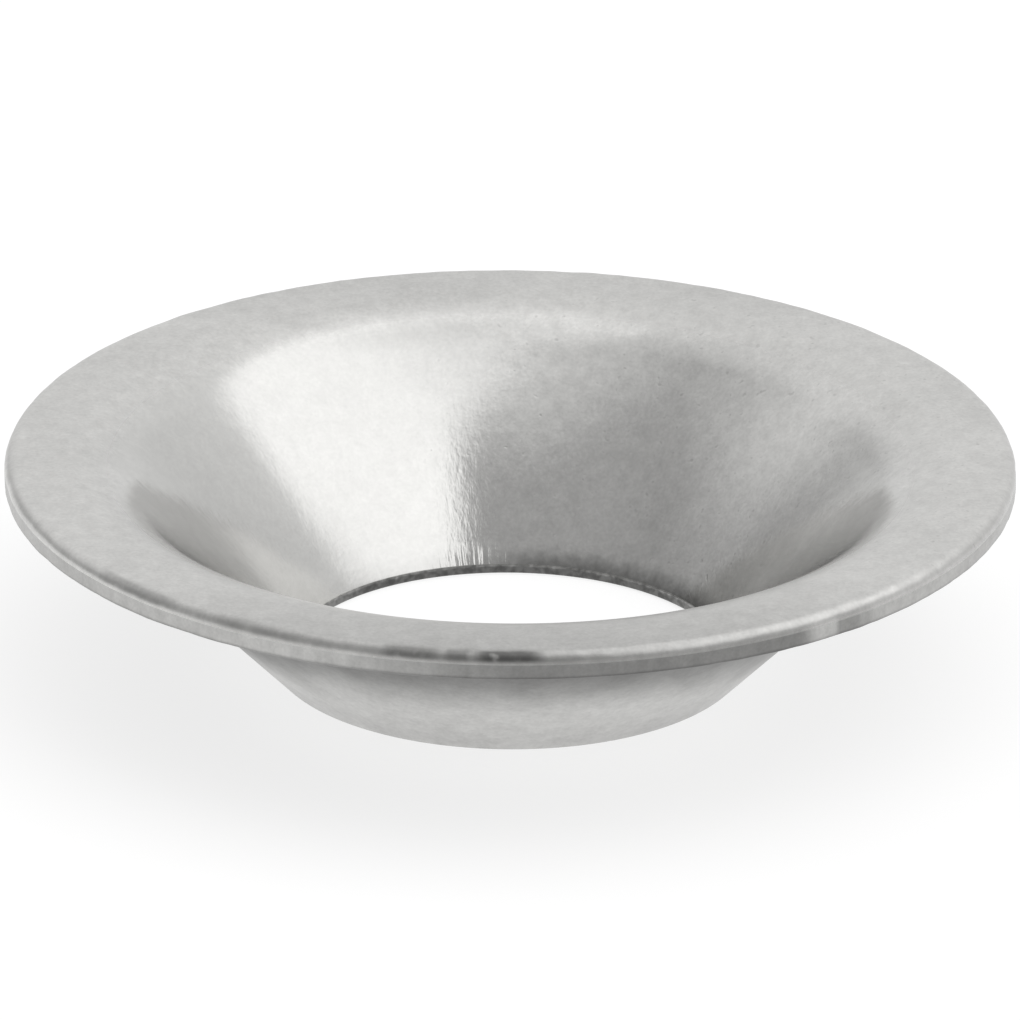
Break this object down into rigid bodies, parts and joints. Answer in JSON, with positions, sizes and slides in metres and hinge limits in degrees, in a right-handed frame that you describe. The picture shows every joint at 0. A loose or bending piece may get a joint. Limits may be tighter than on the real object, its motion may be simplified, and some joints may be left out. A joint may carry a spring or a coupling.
{
  "type": "finishing cup washer",
  "caption": "Pressed sheet-metal cup washer: flat brim, rounded bend and a cone down to a pierced lip, which seats a countersunk screw head flush with the brim.",
  "frame": {"origin": "centre of the flat ring round the hole, which the washer stands on", "axes": "+Z along the screw's axis, from the lip up to the brim; the form is the same all round Z"},
  "size_m": [0.016, 0.016, 0.0034],
  "materials": {
    "tumbled_steel": "tumbled satin stainless steel"
  },
  "bodies": {
    "root": {"cup_washer": "tumbled_steel"}
  },
  "joints": []
}
